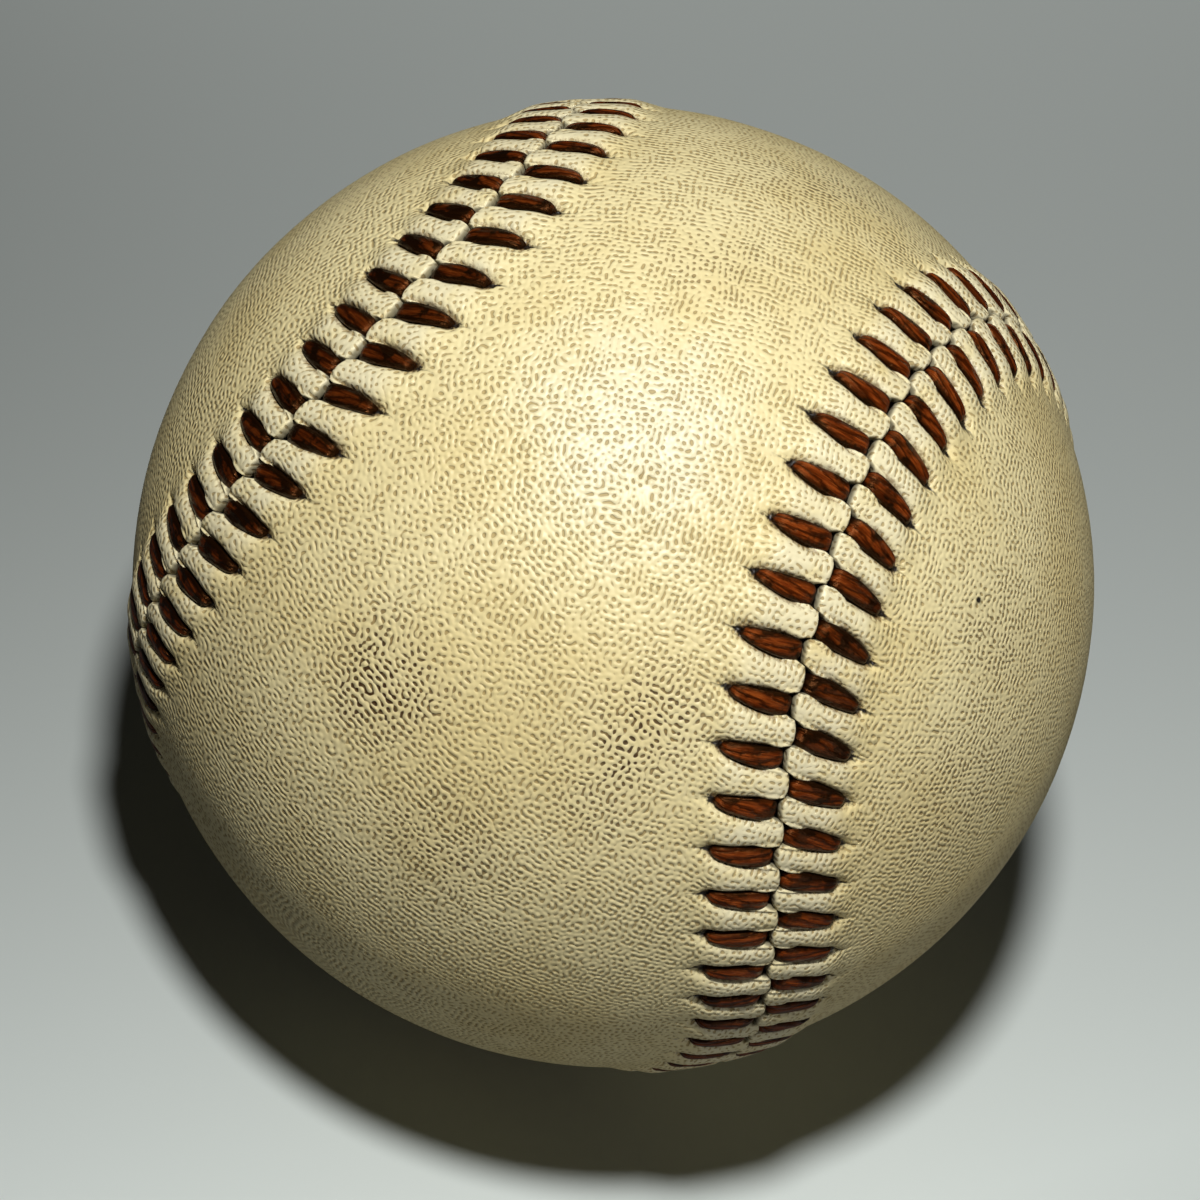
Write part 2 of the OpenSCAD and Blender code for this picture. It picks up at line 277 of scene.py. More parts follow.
# For each column, x counts stitches along the seam and w is its distance from the nearest stitch's middle.
# Columns crowd together at the sides of the beds, where the leather is steepest
def columnPlaces(side):
    strength, place, reach = panel["crowding"]
    w = np.linspace(-0.5, 0.5, panel["crowdSamples"])
    crowd = 1 + strength * np.exp(-((np.abs(w) * pitch - place) / reach) ** 2)
    total = np.concatenate([[0], np.cumsum((crowd[1:] + crowd[:-1]) / 2)])
    share = np.interp(np.arange(panel["columns"]) / panel["columns"] * total[-1], total, w)
    x = (np.arange(seam["stitches"])[:, None] + firstStitch(side) + share[None, :]).ravel()
    return x, np.tile(share, seam["stitches"]) * pitch


# Lays a fine row's points on the straight edges of the coarse grid that it meets
def chorded(places):
    ends = np.concatenate([places[::cut], places[:1]])
    rows = [ends[:-1] + (ends[1:] - ends[:-1]) * k / cut for k in range(cut)]
    return np.concatenate(rows, 1).reshape(places.shape)


# How far a panel's edge lies from the seam: ridges push past it, and notches let the thread dive
def edgeOf(side, x, w, uneven):
    wave = side * np.cos(2 * np.pi * x)
    zigzag = panel["zigzag"] * np.sign(wave) * np.abs(wave) ** panel["zigzagPower"]
    starts, deepest = panel["notchSides"]
    notch = panel["notchDepth"] * ease(-np.abs(w), -starts, -deepest)
    return panel["gap"] - zigzag + uneven["end"](x) * (wave > 0) + notch


# Radius of the leather's outside over the rows near the seam, and marks for its material: distances
# from the panel's edge, from the stitch's middle line and from the bed's side
def ridgesAndBeds(side, x, w, d, u, outward, uneven):
    stretch = np.linalg.norm(np.roll(outward, -1, 1) - np.roll(outward, 1, 1), axis=-1) * seam["radius"]
    stretch = stretch / (((np.roll(x, -1) - np.roll(x, 1)) % seam["stitches"]) * pitch)
    twist = uneven["twist"](x) * ease(u, *panel["twistFade"])
    aside = np.abs(w - bowAt(u, side) + twist) * stretch
    half = pitch / 2 * stretch
    hollow = curveThrough(bedHalfWidth, u + uneven["hole"](x)) * (1 + uneven["width"](x))
    ridge = np.sqrt(1 - np.clip((half - aside) / (half - hollow), 0, 1) ** panel["ridgePower"])
    taller = np.clip(uneven["height"](x), -panel["ridgeMost"], panel["ridgeMost"])
    height = (ridgeR - panel["ridgeDrop"] - smoothR) * (1 + taller)
    crest = smoothR + height * (1 - ease(u, *panel["ridgeFade"]))
    depth = curveThrough(bedDepth, u + uneven["hole"](x))
    blunt = 1 - np.sqrt(1 - (1 - np.clip(d / panel["endRound"], 0, 1)) ** 2)
    bedEnd = panel["bedEndShare"]
    radius = crest - depth * (1 - ridge) - panel["endDrop"] * blunt * (bedEnd + (1 - bedEnd) * ridge)
    radius = np.maximum(radius, panel["liftedR"] + panel["thinnest"]) + swell(outward)
    return radius, np.stack([d + 0 * aside, aside, aside - hollow], -1)


# The inside of a panel near the seam: its grid and its last row
def liningOf(name, side, x, firstRow):
    s, u = x * pitch, np.array(panel["liningRows"])[:, None]
    outward = directionAt(s + leantBack(s, u, side), side * u + 0 * s)
    lifted = panel["liftedR"] - panel["innerR"]
    radius = panel["innerR"] + lifted * (1 - ease(u, *panel["innerFade"]))
    places = outward * (radius + 0 * s)[..., None]
    places[0] = firstRow
    places[-1] = chorded(places[-1])

    def shape(column, row):
        return places[row, column % len(x)], {"stitchPlace": np.zeros((len(row), 3))}
    return shapedGrid(name, len(x), len(u) - 1, shape), places[-1]


# The middle of a panel: rungs from one side to the other, bent into the tips of the lobes at both ends
def middleOf(name, side, lastRow, railEdges, radiusAt):
    ring = unit(lastRow[::cut])
    count = len(ring)
    rungs = count // 2 - railEdges
    halfStitch = count // (2 * seam["stitches"])
    tip = (count // 8 if side > 0 else halfStitch - count // 8) % count
    near = ring[(tip + railEdges // 2 + np.arange(rungs + 1)) % count]
    far = ring[(tip - railEdges // 2 - np.arange(rungs + 1)) % count]
    share = np.linspace(0, 1, railEdges + 1)[None, :, None]
    angle = np.arccos(np.clip((near * far).sum(-1), -1, 1))[:, None, None]
    nearPart, farPart = np.sin((1 - share) * angle), np.sin(share * angle)
    grid = (nearPart * near[:, None] + farPart * far[:, None]) / np.sin(angle)
    m = np.arange(railEdges + 1)
    fade = np.clip(1 - np.arange(rungs + 1) / (panel["tipReach"] * railEdges), 0, 1)[:, None, None] ** 2
    first = ring[(tip + railEdges // 2 - m) % count] - grid[0]
    last = ring[(tip + count // 2 - railEdges // 2 + m) % count] - grid[-1]
    grid = unit(grid + fade * first + fade[::-1] * last)

    def shape(column, row):
        outward = grid[column, row]
        marks = np.full((len(row), 3), panel["smoothMark"])
        return outward * radiusAt(outward)[:, None], {"stitchPlace": marks}
    return shapedGrid(name, rungs, railEdges, shape)


def leatherPanel(name, side):
    x, w = columnPlaces(side)
    moreSeed = panel["upperSeeds"] if side > 0 else 0
    uneven = {key: unevenness(seed + moreSeed, size) for key, (seed, size) in unevenSizes.items()}
    edge = edgeOf(side, x, w, uneven)

    def fromSeam(d):  # for a distance from the panel's edge
        return edge * (1 - ease(d, 0, panel["zigzagReach"])) + d

    def outwardAt(u):
        return directionAt(x * pitch + leantBack(x * pitch, u, side), side * u)

    # Rows from the lining's first one round the edge and out over the leather
    d = np.array(panel["rows"])[:, None]
    outward = outwardAt(fromSeam(d))
    radius, marks = ridgesAndBeds(side, x, w, d, fromSeam(d), outward, uneven)
    outside = outward * radius[..., None]
    deeper, edgeRow = [outwardAt(fromSeam(e)) * panel["liftedR"] for e in panel["turnedIn"]]
    rows = np.concatenate([[chorded(deeper), edgeRow], outside])
    rows[-1] = chorded(outside[-1])
    marks = np.concatenate([marks[:1], marks[:1], marks])

    def shape(column, row):
        return rows[row, column % len(x)], {"stitchPlace": marks[row, column % len(x)]}
    fine = shapedGrid(name + "Fine", len(x), len(rows) - 1, shape)
    lining, lastRow = liningOf(name + "Lining", side, x[::cut], deeper[::cut])
    top = middleOf(name + "Top", side, outside[-1], panel["railEdges"], lambda out: smoothR + swell(out))
    back = middleOf(name + "Back", side, lastRow, panel["railEdges"] // cut,
                    lambda out: np.full(len(out), panel["innerR"]))
    return weldedPiece(name, [fine, cutRim(top), cutRim(lining, cutRim(back))])


leather = {}
for name, side, node in (("leatherPanelUpper", 1, "cover_panel_upper"),
                         ("leatherPanelLower", -1, "cover_panel_lower")):
    leather[name] = leatherPanel(name, side)
    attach(leather[name], "root")
    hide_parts(node)
print("leather panels made")


thread = {
    "sides": 12,
    "under": (finishR + 0.555, 1.05, 0.42),  # radius of its middle, width and thickness below the leather
    "slantFrom": 0.6,  # distance from the seam at which it starts to slant to the next hole
    "ply": (0.12, 3, 1.3),  # the plies' share of its thickness, their count and their turn to the millimetre
    "squareness": (0.8, 0.85),  # of its section across and up, round at 1
    "flatten": 0.02,  # how strongly it keeps its flat side along the seam where it dives
    "cornerShare": 0.25,  # of each stretch, cut away at its corners
}
underR = thread["under"][0]
leatherR = round(smoothR, 2)  # the thread's radii are counted from here
shownR = leatherR - 0.06  # the thread's middle lies above this where it shows
# One stitch from its needle hole over to the seam and on below the other panel: distance from the seam on
# the stitch's own side, radius, width and thickness
stitchRun = (
    (4.55, underR, 0.90, 0.42),
    (4.58, leatherR - 0.36, 0.72, 0.42),
    (4.48, leatherR + 0.04, 0.84, 0.44),
    (3.95, leatherR + 0.19, 1.12, 0.48),
    (3.10, leatherR + 0.24, 1.38, 0.50),
    (2.20, leatherR + 0.26, 1.54, 0.52),
    (1.30, leatherR + 0.25, 1.58, 0.52),
    (0.80, leatherR + 0.18, 1.50, 0.48),
    (0.52, leatherR - 0.10, 1.28, 0.42),
    (0.42, leatherR - 0.50, 1.12, 0.40),
    (-0.60, *thread["under"]),
    (-2.70, *thread["under"]),
)


def stitchPoints(j, side):
    s = (j + firstStitch(side)) * pitch
    run = np.array(stitchRun)
    nextS = (j + 1 + firstStitch(-side)) * pitch  # the strand's next stitch, on the other panel
    u = run[:, 0]
    own = s + leanAt(s, side) * np.clip(u, 0, None) / seam["holeReach"] + bowAt(u, side)
    hole = nextS + leanAt(nextS, -side)
    slant = (-u - thread["slantFrom"]) / (seam["holeReach"] - thread["slantFrom"])
    below = s + (hole - s) * np.clip(slant, 0, 1)
    return np.column_stack([np.where(u > 0, own, below), side * u, run[:, 1:]])


# Each needle's strand makes every other stitch of a side, and its last stitch ends as it dives
def strand(firstSide):
    return np.concatenate([stitchPoints(j, firstSide if j % 2 == 0 else -firstSide)
                           for j in range(seam["stitches"])])[:-3]


# The whole route: both strands, joined where the sewing starts, with each corner cut once
def threadRoute():
    reach = thread["slantFrom"]
    crossing = np.array([(-pitch / 2, u, *thread["under"]) for u in (reach, -reach)])
    path = np.concatenate([strand(1)[::-1], crossing, strand(-1)])
    places = directionAt(path[:, 0], path[:, 1]) * path[:, 2:3]
    values = np.column_stack([places, alongSeam(path[:, 0]), path[:, 3:], path[:, 2]])
    a, b, share = values[:-1], values[1:], thread["cornerShare"]
    pairs = np.stack([(1 - share) * a + share * b, share * a + (1 - share) * b], 1)
    values = pairs.reshape(-1, values.shape[1])
    return values[:, :3], values[:, 3:6], values[:, 6], values[:, 7], values[:, 8]


# Directions across and up the thread: its flat side lies on the ball, square to the way it runs
def flatSide(places, flow):
    reach = np.arange(len(places))
    ahead, back = np.minimum(reach + 1, len(places) - 1), np.maximum(reach - 1, 0)
    tangent = unit(places[ahead] - places[back])
    radial = unit(places)
    wide = np.cross(radial, tangent)
    weight = np.linalg.norm(wide, axis=1, keepdims=True)
    wide = wide * np.sign((wide * flow).sum(1, keepdims=True)) * weight + thread["flatten"] * flow
    kernel = np.array([1, 2, 3, 2, 1]) / 9
    wide = np.stack([np.convolve(np.pad(wide[:, k], 2, mode="edge"), kernel, "valid") for k in range(3)], 1)
    wide = unit(wide - (wide * tangent).sum(1, keepdims=True) * tangent)
    tall = np.cross(wide, tangent)
    # The 1e-9 gives a sign to a thread that runs straight in or out
    return wide, tall * np.sign((tall * radial).sum(1, keepdims=True) + 1e-9)


def sewingThread():
    places, flow, width, thick, height = threadRoute()
    wide, tall = flatSide(places, flow)
    length = np.concatenate([[0], np.cumsum(np.linalg.norm(np.diff(places, axis=0), axis=1))])
    sides = thread["sides"]
    angle = 2 * np.pi * np.arange(sides) / sides
    over = np.sign(np.cos(angle)) * np.abs(np.cos(angle)) ** thread["squareness"][0]
    up = np.sign(np.sin(angle)) * np.abs(np.sin(angle)) ** thread["squareness"][1]
    share, plies, twist = thread["ply"]
    ply = 1 + share * np.cos(plies * angle[None, :] + length[:, None] * twist) * (height[:, None] > shownR)
    rings = (places[:, None] + wide[:, None] * (over[None, :] * width[:, None] / 2)[..., None]
             + tall[:, None] * (up[None, :] * ply * thick[:, None] / 2)[..., None])
    marks = np.stack([over[None, :] + 0 * length[:, None], length[:, None] + 0 * over[None, :],
                      height[:, None] + 0 * over[None, :]], -1)

    def shape(column, row):
        return rings[column, row % sides], {"threadPlace": marks[column, row % sides]}
    print("thread", round(length[-1] / 1000, 3), "m long")
    grid = shapedGrid("threadGrid", len(places) - 1, sides, shape)
    return weldedPiece("waxedThread", [grid], fillEnds=True)


threadPiece = sewingThread()
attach(threadPiece, "root")
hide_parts("sewing_thread")
print("thread sewn")


# A socket of a material, on which sums and products add Math nodes
class Wire:
    def __init__(self, tree, socket=None):
        self.tree = tree
        self.socket = socket

    def node(self, kind, settings=None, sockets=None, output=0):
        made = self.tree.nodes.new("ShaderNode" + kind)
        for key, value in (settings or {}).items():
            setattr(made, key, value)
        for key, value in (sockets or {}).items():
            if isinstance(value, Wire):
                self.tree.links.new(value.socket, made.inputs[key])
            else:
                made.inputs[key].default_value = value
        return Wire(self.tree, made.outputs[output])

    def maths(self, operation, *others):
        return self.node("Math", {"operation": operation}, dict(enumerate([self, *others])))

    def __add__(self, other):
        return self.maths("ADD", other)

    def __sub__(self, other):
        return self.maths("SUBTRACT", other)

    def __rsub__(self, other):
        return self.node("Math", {"operation": "SUBTRACT"}, {0: other, 1: self})

    def __mul__(self, other):
        return self.maths("MULTIPLY", other)

    __radd__ = __add__
    __rmul__ = __mul__

    def ramp(self, start, end):  # 0 at start, 1 at end, smooth between
        return self.node("MapRange", {"interpolation_type": "SMOOTHSTEP"},
                         {"Value": self, "From Min": start, "From Max": end})

    def tint(self, colour, other):  # from one colour to the other as this value goes from 0 to 1
        return self.node("Mix", {"data_type": "RGBA"}, {0: self, 6: colour, 7: other}, 2)

    def axis(self, k):
        return self.node("SeparateXYZ", sockets={0: self}, output=k)

    def vector(self, operation, *others, output="Vector"):
        return self.node("VectorMath", {"operation": operation}, dict(enumerate([self, *others])), output)

    def scaled(self, amount):
        return self.node("VectorMath", {"operation": "SCALE"}, {0: self, "Scale": amount})

    def moved(self, other):
        return self.vector("ADD", other)

    def noise(self, scale, detail=2.0, rough=0.5, output="Fac"):
        return self.node("TexNoise", sockets={"Vector": self, "Scale": scale, "Detail": detail,
                                              "Roughness": rough}, output=output)

    def cells(self, scale, feature="F1", output="Distance"):
        return self.node("TexVoronoi", {"feature": feature}, {"Vector": self, "Scale": scale}, output)


# A new material: a wire to start its nodes from, and a call that joins results to its shader
def finish(name, constants):
    material = bpy.data.materials.new(name)
    material.use_nodes = True
    tree = material.node_tree
    shader = tree.nodes["Principled BSDF"]
    for key, value in constants.items():
        shader.inputs[key].default_value = value
    wire = Wire(tree)

    def join(**results):
        for key, value in results.items():
            tree.links.new(value.socket, shader.inputs[key.replace("_", " ")])
        return material
    return wire, join


# A colour written in screen values of 0 to 255, made linear
def colour(red, green, blue):
    def linear(v):
        v = v / 255
        return v / 12.92 if v <= 0.04045 else ((v + 0.055) / 1.055) ** 2.4
    return (linear(red), linear(green), linear(blue), 1.0)


def objectMm(wire):
    return wire.node("TexCoord", output="Object").scaled(1 / mm)


# The camera stands where the photograph's did
view = {
    "right": (0.9326, -0.2944, 0.2090),
    "up": (0.0926, 0.7546, 0.6497),
    "back": (-0.3489, -0.5865, 0.7309),
    "distance": 6.42 * seam["radius"],
    "lens": 91.7,
    "sensor": 36.0,
    "frame": 1200,  # pixels along each side
    "middle": (613.4, 586.5),  # pixel of the ball's centre
}


# Place on the ball that a pixel of the photograph shows
def placeAtPixel(px, py):
    right, up, back = (np.array(view[k]) for k in ("right", "up", "back"))
    scale = view["sensor"] / view["frame"] / view["lens"]
    ray = unit((px - view["middle"][0]) * scale * right - (py - view["middle"][1]) * scale * up - back)
    start = back * view["distance"]
    half = ray @ start
    return start + ray * (-half - np.sqrt(half * half - start @ start + smoothR ** 2))


leatherLook = {
    "cleanAndPaintedHighlight": colour(246, 230, 174),
    "yellow": colour(238, 218, 156),
    "pale": colour(246, 239, 206),
    "pore": colour(174, 146, 86),
    "deepPore": colour(74, 47, 8),
    "grimeAndShade": colour(112, 76, 24),
    "dark": colour(23, 13, 3),
    "poreSeed": 5,
    "waveLength": 0.46,  # of the pores' pattern
    "waveTurns": 9,  # each adds three waves, square to each other
    "waveSpread": (0.88, 1.12),  # shares of the wave length
    "drift": 0.8,  # how far the pattern is pulled about
    "finer": 0.08,  # how much closer the pores stand on the photograph's right side
    "poreRise": (0.55, 1.35),  # of the summed waves, from no pore to a full one
    "poreDepth": 0.05,
    # A painted highlight: the leather is painted paler round this pixel, where the key lamp's highlight
    # falls
    "highlightPixel": (640, 430),
    "highlightReach": (2.0, 11.0),  # from there to where the leather is no paler
    # Where grime was rubbed in: pixel, reach and strength
    "stains": (((385, 685), 7.5, 1.0), ((655, 725), 6.0, 0.85), ((600, 800), 6.0, 0.6),
               ((440, 850), 8.0, 0.6), ((860, 200), 6.0, 0.40), ((1000, 640), 6.0, 0.50),
               ((720, 260), 6.0, 0.35), ((790, 180), 6.0, 0.35), ((960, 790), 9.0, 0.5)),
    "stainWander": 6.0,  # how far their sides wander
    "highlightWander": 8.0,
    "speckPixel": (979, 600),
    "speckReach": (0.14, 0.34),
    "raggedness": 1.2,  # of the leather's edge beside the thread
    # Distances from the panel's edge over which each begins or ends
    "ridgeEnds": (3.2, 5.6),
    "edgeEnds": (seam["holeReach"], seam["holeReach"] + 0.5),
    "creaseStarts": (seam["holeReach"], seam["holeReach"] + 0.3),
    "creaseEnds": (seam["holeReach"] + 0.8, seam["holeReach"] + 2.2),
    "holeStarts": (seam["holeReach"] - 0.8, seam["holeReach"] - 0.2),
    "holeEnds": (seam["holeReach"] + 0.7, seam["holeReach"] + 1.3),
    "rimEnds": (0.0, 0.22),
}


# The pores are where waves of one length, from all sides, add up: dots, in places run together
def poreField(place):
    look = leatherLook
    draw = np.random.default_rng(look["poreSeed"])
    drift = place.noise(0.35, 1.0, output="Color").moved((-0.5,) * 3).scaled(look["drift"])
    finer = place.vector("DOT_PRODUCT", view["right"], output="Value") * (look["finer"] / smoothR) + 1
    place = place.moved(drift).scaled(finer)
    field = 0
    for k in range(look["waveTurns"]):
        turned = place.node("VectorRotate", {"rotation_type": "AXIS_ANGLE"}, {
            "Vector": place, "Axis": unit(draw.normal(size=3)), "Angle": draw.uniform(0.5, 3.0)})
        often = 2 * np.pi / look["waveLength"] * draw.uniform(*look["waveSpread"])
        waves = turned.vector("MULTIPLY_ADD", (often,) * 3, draw.uniform(0, fullTurn, 3)).vector("SINE")
        # A wave counts less where it runs straight into the leather
        slant = turned.vector("MULTIPLY", turned).vector("MULTIPLY_ADD", (-smoothR ** -2,) * 3, (1.0,) * 3)
        field = waves.vector("DOT_PRODUCT", slant, output="Value") + field
    return field * (0.8 * look["waveTurns"]) ** -0.5


def distanceFrom(place, pixel):
    return place.vector("DISTANCE", Vector(placeAtPixel(*pixel)), output="Value")


# Grime where the ball was held, from 0 to 1, with sides that wander with the patches
def stainAt(place, patch):
    stain = patch.ramp(0.54, 0.78) * 0.3
    for pixel, reach, strength in leatherLook["stains"]:
        away = distanceFrom(place, pixel) + (patch - 0.5) * leatherLook["stainWander"]
        stain = stain + (1 - away.ramp(0.2 * reach, reach)) * strength
    return stain.maths("MINIMUM", 1.0)


def leatherFinish():
    look = leatherLook
    wire, join = finish("coverLeather", {"Specular IOR Level": 0.5})
    place = objectMm(wire)
    mark = wire.node("Attribute", {"attribute_name": "stitchPlace"}, output="Vector")
    fromEdge, aside, fromBed = mark.axis(0), mark.axis(1), mark.axis(2)
    field = poreField(place)
    fine = place.noise(5.0, 2.0)  # the grain between pores
    patch = place.noise(0.28, 3.0, 0.6)  # where grime gathers

    # Slow changes of colour, paler on the ridges and with a painted highlight round the key lamp's
    # highlight, then the pores, darker where grime fills them
    base = place.noise(0.07, 3.0, 0.6).ramp(0.38, 0.70).tint(look["cleanAndPaintedHighlight"], look["yellow"])
    ridge = (1 - fromEdge.ramp(*look["ridgeEnds"])) * (place.noise(0.5, 3.0) + 0.35).ramp(0.55, 0.95)
    # Painted highlight: paler leather round the place where the key lamp's highlight falls
    away = distanceFrom(place, look["highlightPixel"]) + (patch - 0.5) * look["highlightWander"]
    cleanAndPaintedHighlight = 1 - away.ramp(*look["highlightReach"])
    base = (ridge * 0.55 + cleanAndPaintedHighlight * 0.7).tint(base, look["pale"])
    stain = stainAt(place, patch)
    pores = (field + (place.noise(1.3, 2.0) - 0.5) * 1.2 + stain * 0.22).ramp(*look["poreRise"])
    base = (stain * 0.04).tint(base, look["grimeAndShade"])
    filled = (stain * (place.noise(1.4, 3.0, 0.6) * 3.6 - 0.9)).maths("MINIMUM", 1.0)
    base = (pores * (0.75 + stain * 0.25)).tint(base, filled.tint(look["pore"], look["deepPore"]))

    # Grime and painted shade in the ragged edges beside the thread, and painted shade in the needle holes
    # and their creases
    fuzz = place.noise(2.8, 3.0, 0.7)
    ragged = fromBed + (fuzz - 0.5) * look["raggedness"]
    edge = (1 - ragged.ramp(-0.10, 0.42)) * (1 - fromEdge.ramp(*look["edgeEnds"]))
    crease = 1 - (aside + (place.noise(1.6, 2.0) - 0.5) * 0.3).ramp(0.03, 0.14)
    crease = crease * fromEdge.ramp(*look["creaseStarts"])
    crease = crease * (1 - (fromEdge + fuzz * 0.8).ramp(*look["creaseEnds"]))
    hole = (1 - (ragged * 0.5).ramp(-0.10, 0.08)) * fromEdge.ramp(*look["holeStarts"])
    hole = hole * (1 - (fromEdge + fuzz).ramp(*look["holeEnds"]))
    # Brown at the groove's sides: partly real grime, partly painted shade of the groove walls
    base = (edge * (0.35 + fuzz * 1.1)).maths("MINIMUM", 1.0).tint(base, look["grimeAndShade"])
    # Painted shade along the panel's cut edge, where the two panels meet at the seam
    rim = 1 - fromEdge.ramp(*look["rimEnds"])
    speck = 1 - distanceFrom(place, look["speckPixel"]).ramp(*look["speckReach"])
    # Darkened: painted shade in the creases, holes and along the seam's edge, and one real dark speck
    base = (crease * 0.9 + hole + rim * 0.7 + speck).maths("MINIMUM", 1.0).tint(base, look["dark"])

    height = (pores * 0.8 + field * 0.38) * (ridge * 0.4 - 1.0) + fine * 0.2 - crease * 1.5
    bump = wire.node("Bump", sockets={"Distance": look["poreDepth"] * mm, "Height": height})
    rough = 0.44 + pores * 0.3 + rim * 0.3 + (fine - 0.5) * 0.1
    return join(Base_Color=base, Roughness=rough, Normal=bump)


threadLook = {
    "lit": colour(178, 92, 34),
    "mid": colour(110, 42, 9),
    "deep": colour(60, 20, 2),
    "waxAndShade": colour(20, 7, 1),
    "shine": colour(255, 165, 100),
    "blackened": (((310, 380), 34.0), ((880, 700), 12.0)),  # pixel and reach
    "diving": (leatherR - 0.31, leatherR + 0.14),  # painted shade where the thread dives into the leather: black below the first radius, clear above the second
    "fibreDepth": 0.10,
}


def threadFinish():
    look = threadLook
    wire, join = finish("waxedThread", {"Specular IOR Level": 0.45, "Specular Tint": look["shine"]})
    place = objectMm(wire)
    mark = wire.node("Attribute", {"attribute_name": "threadPlace"}, output="Vector")
    over, length, height = mark.axis(0), mark.axis(1), mark.axis(2)
    lay = wire.node("CombineXYZ", sockets={0: over * 2.2 + length * 0.25, 1: length * 0.28, 2: height * 0.6})
    fibre = lay.noise(2.4, 2.0, 0.5)
    hair = lay.noise(6.0, 2.0, 0.6)
    blotch = place.noise(0.6, 3.0, 0.6)
    twist = (over * 3.4 + length * 1.1 + blotch * 4.0).maths("SINE").maths("ABSOLUTE")  # low between plies, where it paints shade
    # The fibres' colour, with painted shade in the grooves between the plies
    base = (fibre * 0.7 + twist * 0.25).ramp(0.36, 0.66).tint(look["deep"], look["mid"])
    # Painted highlights along the fibres and on the plies' tops, in the lit colour
    shine = (fibre * 0.5 + hair * 0.5).ramp(0.42, 0.72) * twist.ramp(0.1, 0.6) * 0.55
    base = shine.tint(base, look["lit"])
    black = blotch.ramp(0.48, 0.64) * 0.8
    for pixel, reach in look["blackened"]:
        black = black + (1 - distanceFrom(place, pixel).ramp(0.3 * reach, reach)) * (0.25 + blotch * 0.8)
    # Painted shade: black where the thread dives under the leather, and along both its edges where the
    # leather shades it
    black = black + (1 - height.ramp(*look["diving"])) + over.maths("ABSOLUTE").ramp(0.35, 1.0) * 0.85
    base = black.maths("MINIMUM", 1.0).tint(base, look["waxAndShade"])
    relief = fibre * 0.7 + hair * 0.4 + twist * 0.8
    bump = wire.node("Bump", sockets={"Distance": look["fibreDepth"] * mm, "Height": relief})
    rough = 0.20 + blotch * 0.25 + fibre * 0.1
    return join(Base_Color=base, Roughness=rough, Normal=bump)


# Inside the ball, cork granules, moulded rubber and wound yarn
corkLook = {
    "granules": (colour(168, 122, 78), colour(205, 163, 112)),
    "bark": colour(120, 78, 48),
    "binder": colour(70, 44, 28),
    "often": 0.75,  # granules to the millimetre
    "depth": 0.15,
}


def corkFinish():
    look = corkLook
    wire, join = finish("compositionCork", {})
    place = objectMm(wire)
    grains = place.cells(look["often"], output="Color").axis(0)
    gaps = place.cells(look["often"], "DISTANCE_TO_EDGE").ramp(0.0, 0.09)
    base = grains.tint(*look["granules"])
    base = place.noise(0.5, 3.0).ramp(0.55, 0.7).tint(base, look["bark"])
    base = gaps.tint(look["binder"], base)
    relief = gaps + place.noise(3.0, 3.0) * 0.3
    bump = wire.node("Bump", sockets={"Distance": look["depth"] * mm, "Height": relief})
    return join(Base_Color=base, Roughness=0.75 + grains * 0.2, Normal=bump)


def rubberFinish(name, shade, bloom):  # bloom is the paler colour of its dust
    wire, join = finish(name, {})
    place = objectMm(wire)
    dust = place.noise(0.25, 4.0, 0.6).ramp(0.42, 0.75)
    fine = place.noise(4.0, 3.0)
    bump = wire.node("Bump", sockets={"Distance": 0.04 * mm, "Height": fine})
    return join(Base_Color=dust.tint(shade, bloom), Roughness=0.5 + dust * 0.25 + fine * 0.1, Normal=bump)


# Yarn wound in all directions: patches, each with its strands running its own way
def yarnFinish(name, shade, shadow, strandWidth):
    wire, join = finish(name, {"Sheen Weight": 0.3, "Sheen Roughness": 0.6})
    place = objectMm(wire)
    patches = place.moved(place.noise(0.15, 1.0, output="Color").scaled(3.0)).cells(0.09, output="Color")
    turned = patches.vector("SUBTRACT", (0.5,) * 3).vector("NORMALIZE")
    run = place.vector("DOT_PRODUCT", turned, output="Value")
    strands = ((run + place.noise(0.6, 2.0) * 0.5) * (np.pi / strandWidth)).maths("SINE").maths("ABSOLUTE")
    fuzz = place.noise(3.0, 4.0, 0.7)
    base = (strands.ramp(0.05, 0.6) * (0.7 + fuzz * 0.4)).maths("MINIMUM", 1.0).tint(shadow, shade)
    bump = wire.node("Bump", sockets={"Distance": 0.3 * strandWidth * mm, "Height": strands + fuzz * 0.3})
    return join(Base_Color=base, Roughness=0.8 + fuzz * 0.15, Normal=bump)


finishes = {
    "composition_cork": corkFinish(),
    "black_rubber": rubberFinish("blackRubber", colour(38, 37, 36), colour(70, 67, 63)),
    "gasket_rubber": rubberFinish("gasketRubber", colour(140, 44, 36), colour(160, 76, 64)),
    "red_rubber": rubberFinish("redRubber", colour(158, 52, 42), colour(176, 88, 74)),
    "gray_wool": yarnFinish("grayWool", colour(160, 157, 152), colour(84, 82, 80), 1.1),
    "white_wool": yarnFinish("whiteWool", colour(231, 226, 211), colour(150, 143, 126), 0.9),
    "cotton_yarn": yarnFinish("cottonYarn", colour(236, 232, 218), colour(170, 160, 138), 0.4),
    "cover_leather": leatherFinish(),
    "waxed_thread": threadFinish(),
}
for subpart in frame["record"]["subparts"]:
    mesh = frame["nodes"][subpart["node"]].data
    mesh.materials.clear()
    mesh.materials.append(finishes[subpart["material_slot"]])
for piece in leather.values():
    piece.data.materials.append(finishes["cover_leather"])
threadPiece.data.materials.append(finishes["waxed_thread"])
print("finishes made")


